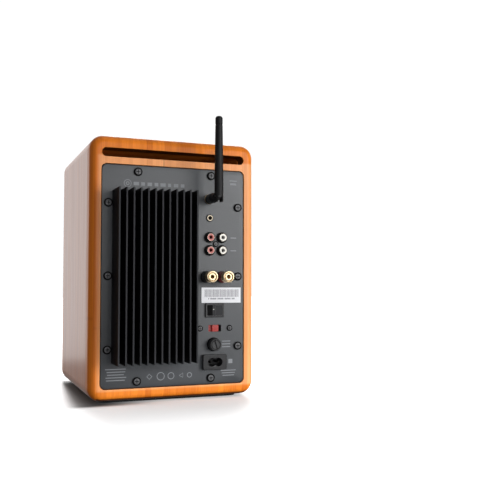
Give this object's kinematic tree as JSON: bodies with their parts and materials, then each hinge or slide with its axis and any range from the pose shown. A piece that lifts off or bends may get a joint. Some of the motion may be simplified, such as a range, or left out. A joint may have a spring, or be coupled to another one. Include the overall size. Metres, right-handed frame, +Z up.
{
  "type": "powered bookshelf loudspeaker",
  "caption": "Powered bamboo bookshelf speaker with built-in wireless receiver, finned rear amplifier panel, slotted port, folding antenna, input sockets and binding posts.",
  "frame": {"origin": "centre of the base pad's underside", "axes": "+X to the right seen from the front, -Y out of the front baffle, +Y out of the rear amplifier panel, +Z up"},
  "size_m": [0.178, 0.2463, 0.2953],
  "materials": {
    "bamboo": "satin lacquer over edge-grain bamboo",
    "panel_paint": "fine powder coat",
    "black_anodised": "black anodised",
    "black_steel": "black oxide",
    "plain_steel": "plain",
    "ferrite": "matt ferrite",
    "black_rubber": "matt",
    "black_plastic": "matt",
    "red_plastic": "semi gloss",
    "white_plastic": "semi gloss",
    "gold_plate": "gold plate",
    "nickel_plate": "nickel plate",
    "label_film": "matt film",
    "woven_cone": "woven aramid",
    "silk": "coated silk",
    "spider_cloth": "resin-stiffened cloth",
    "basket_paint": "painted casting",
    "board_green": "solder mask",
    "capacitor_sleeve": "shrink sleeve",
    "winding_tape": "polyester tape",
    "fuse_glass": "glass tube",
    "lamp_lens": "frosted lens",
    "copper_coil": "enamelled wire"
  },
  "bodies": {
    "speaker": {"front_baffle": "bamboo", "rear_board": "bamboo", "top_board": "bamboo", "bottom_board": "bamboo", "side_board_left": "bamboo", "side_board_right": "bamboo", "port_shelf": "bamboo", "base_pad": "black_rubber", "woofer_basket": "basket_paint", "woofer_surround": "black_rubber", "woofer_spider": "spider_cloth", "woofer_top_plate": "plain_steel", "woofer_magnet": "ferrite", "woofer_yoke": "plain_steel", "woofer_screws": "black_steel", "tweeter_faceplate": "basket_paint", "tweeter_motor": "plain_steel", "volume_pot": "plain_steel", "status_led": "lamp_lens", "amp_panel": "panel_paint", "panel_screws": "black_steel", "heatsink": "black_anodised", "amp_board": "board_green", "filter_capacitors": "capacitor_sleeve", "amp_chips": "black_plastic", "transformer": "winding_tape", "bluetooth_module": "board_green", "input_board": "board_green", "antenna_jack": "gold_plate", "aux_jack": "nickel_plate", "rca_housing": "black_plastic", "rca_sleeves": "nickel_plate", "rca_inserts_red": "red_plastic", "rca_inserts_white": "white_plastic", "post_bushes": "black_plastic", "post_studs": "gold_plate", "serial_label": "label_film", "switch_housing": "black_plastic", "selector_body": "black_plastic", "small_screws": "black_steel", "fuse_holder": "black_plastic", "ac_inlet": "black_plastic", "ac_pins": "nickel_plate"},
    "woofer_moving": {"woofer_cone": "woven_cone", "woofer_dust_cap": "black_rubber", "woofer_voice_coil": "copper_coil"},
    "tweeter_moving": {"tweeter_dome": "silk"},
    "volume_control": {"volume_knob": "black_anodised", "volume_shaft": "plain_steel"},
    "antenna_swivel_part": {"antenna_knuckle": "black_plastic", "antenna_pin": "plain_steel"},
    "antenna_rod": {"antenna_whip": "black_rubber"},
    "power_rocker": {"switch_rocker": "black_plastic"},
    "voltage_slider": {"selector_slider": "red_plastic"},
    "fuse_link": {"fuse": "fuse_glass"},
    "fuse_cover": {"fuse_cap": "black_plastic"},
    "black_post_ring": {"post_ring_black": "black_plastic"},
    "black_post_cap": {"post_cap_black": "gold_plate"},
    "red_post_ring": {"post_ring_red": "red_plastic"},
    "red_post_cap": {"post_cap_red": "gold_plate"}
  },
  "joints": [
    {"name": "woofer_excursion", "type": "slide", "parent": "speaker", "child": "woofer_moving", "axis": [0, -1, 0], "range_m": [-0.004, 0.004], "stiffness_N_per_m": 700, "deforming": ["woofer_surround", "woofer_spider"]},
    {"name": "tweeter_excursion", "type": "slide", "parent": "speaker", "child": "tweeter_moving", "axis": [0, -1, 0], "range_m": [-0.0003, 0.0003], "stiffness_N_per_m": 20},
    {"name": "volume_turn", "type": "hinge", "parent": "speaker", "child": "volume_control", "pos_m": [-0.066, -0.0984, 0.026], "axis": [0, 1, 0], "range_deg": [-150, 150]},
    {"name": "antenna_swivel", "type": "hinge", "parent": "speaker", "child": "antenna_swivel_part", "pos_m": [-0.038, 0.1074, 0.2118], "axis": [0, 1, 0], "range_deg": [-180, 60]},
    {"name": "antenna_tilt", "type": "hinge", "parent": "antenna_swivel_part", "child": "antenna_rod", "pos_m": [-0.038, 0.1282, 0.2118], "axis": [1, 0, 0], "range_deg": [-90, 0]},
    {"name": "power_switch_rock", "type": "hinge", "parent": "speaker", "child": "power_rocker", "pos_m": [-0.0441, 0.0984, 0.0931], "axis": [0, 0, 1], "range_deg": [0, 26]},
    {"name": "voltage_select", "type": "slide", "parent": "speaker", "child": "voltage_slider", "axis": [-1, 0, 0], "range_m": [0, 0.003]},
    {"name": "fuse_pull", "type": "slide", "parent": "speaker", "child": "fuse_link", "axis": [0, 1, 0], "range_m": [0, 0.03]},
    {"name": "fuse_cap_turn", "type": "hinge", "parent": "fuse_link", "child": "fuse_cover", "pos_m": [-0.043, 0.0974, 0.0569], "axis": [0, 1, 0], "range_deg": [0, 90]},
    {"name": "black_post_lift", "type": "slide", "parent": "speaker", "child": "black_post_ring", "axis": [0, 1, 0], "range_m": [0, 0.006]},
    {"name": "black_post_turn", "type": "hinge", "parent": "black_post_ring", "child": "black_post_cap", "pos_m": [-0.03435, 0.1124, 0.1285], "axis": [0, 1, 0], "range_deg": [0, 2161]},
    {"name": "red_post_lift", "type": "slide", "parent": "speaker", "child": "red_post_ring", "axis": [0, 1, 0], "range_m": [0, 0.006]},
    {"name": "red_post_turn", "type": "hinge", "parent": "red_post_ring", "child": "red_post_cap", "pos_m": [-0.05235, 0.1124, 0.1285], "axis": [0, 1, 0], "range_deg": [0, 2161]}
  ],
  "couplings": [
    {"joint": "black_post_turn", "follows": "black_post_lift", "rad_per_m": 6283.2},
    {"joint": "red_post_turn", "follows": "red_post_lift", "rad_per_m": 6283.2}
  ]
}
